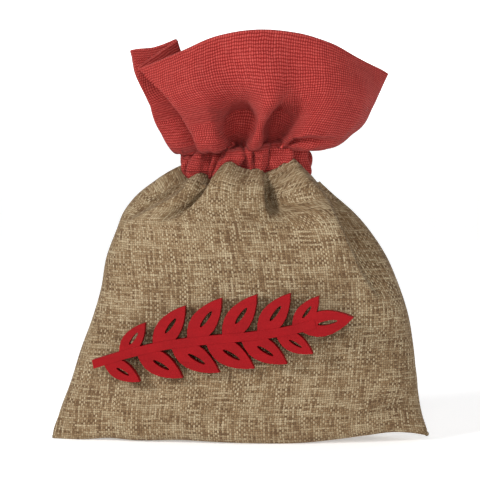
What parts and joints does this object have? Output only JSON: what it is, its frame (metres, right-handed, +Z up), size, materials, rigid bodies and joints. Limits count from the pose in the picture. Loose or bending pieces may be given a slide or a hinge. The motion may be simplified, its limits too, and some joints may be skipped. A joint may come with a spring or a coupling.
{
  "type": "fabric gift sack",
  "caption": "Small burlap-look cloth gift sack with an elastic-gathered neck, a flared red cloth collar that opens outwards and a red wooden laurel sprig glued to its front.",
  "frame": {"origin": "on the floor, under the middle of the sack", "axes": "+Z up through the neck, the front with the wooden sprig faces -Y, +X to the right as seen from the front"},
  "size_m": [0.13, 0.067, 0.1447],
  "materials": {
    "burlap": "open plain weave of heathered beige and brown slub yarn, matt",
    "red_cloth": "plain weave in warm red, matt with a faint sheen",
    "elastic": "white braided elastic",
    "thread": "beige sewing thread",
    "red_thread": "red sewing thread",
    "painted_wood": "laser-cut plywood in satin red paint",
    "glue": "cloudy hot-melt glue"
  },
  "bodies": {
    "sack": {"body_front_panel": "burlap", "body_back_panel": "burlap", "left_seam_allowance": "burlap", "right_seam_allowance": "burlap", "bottom_seam_allowance": "burlap", "neck_front_allowance": "burlap", "neck_back_allowance": "burlap", "left_overlock_thread": "thread", "right_overlock_thread": "thread", "bottom_overlock_thread": "thread", "neck_join_thread": "thread", "casing_front": "red_cloth", "casing_back": "red_cloth", "neck_elastic": "elastic", "elastic_lap": "elastic", "casing_stitch_thread": "red_thread", "collar_left_seam_thread": "red_thread", "collar_right_seam_thread": "red_thread", "wooden_sprig": "painted_wood", "glue_pad_1": "glue", "glue_pad_2": "glue", "glue_pad_3": "glue"},
    "front_flap": {"collar_front": "red_cloth"},
    "back_flap": {"collar_back": "red_cloth"}
  },
  "joints": [
    {"name": "front_flap_hinge", "type": "hinge", "parent": "sack", "child": "front_flap", "pos_m": [0, -0.0135, 0.10245], "axis": [1, 0, 0], "range_deg": [0, 22], "stiffness_Nm_per_rad": 0.01},
    {"name": "back_flap_hinge", "type": "hinge", "parent": "sack", "child": "back_flap", "pos_m": [0, 0.0135, 0.10245], "axis": [-1, 0, 0], "range_deg": [0, 22], "stiffness_Nm_per_rad": 0.01}
  ]
}
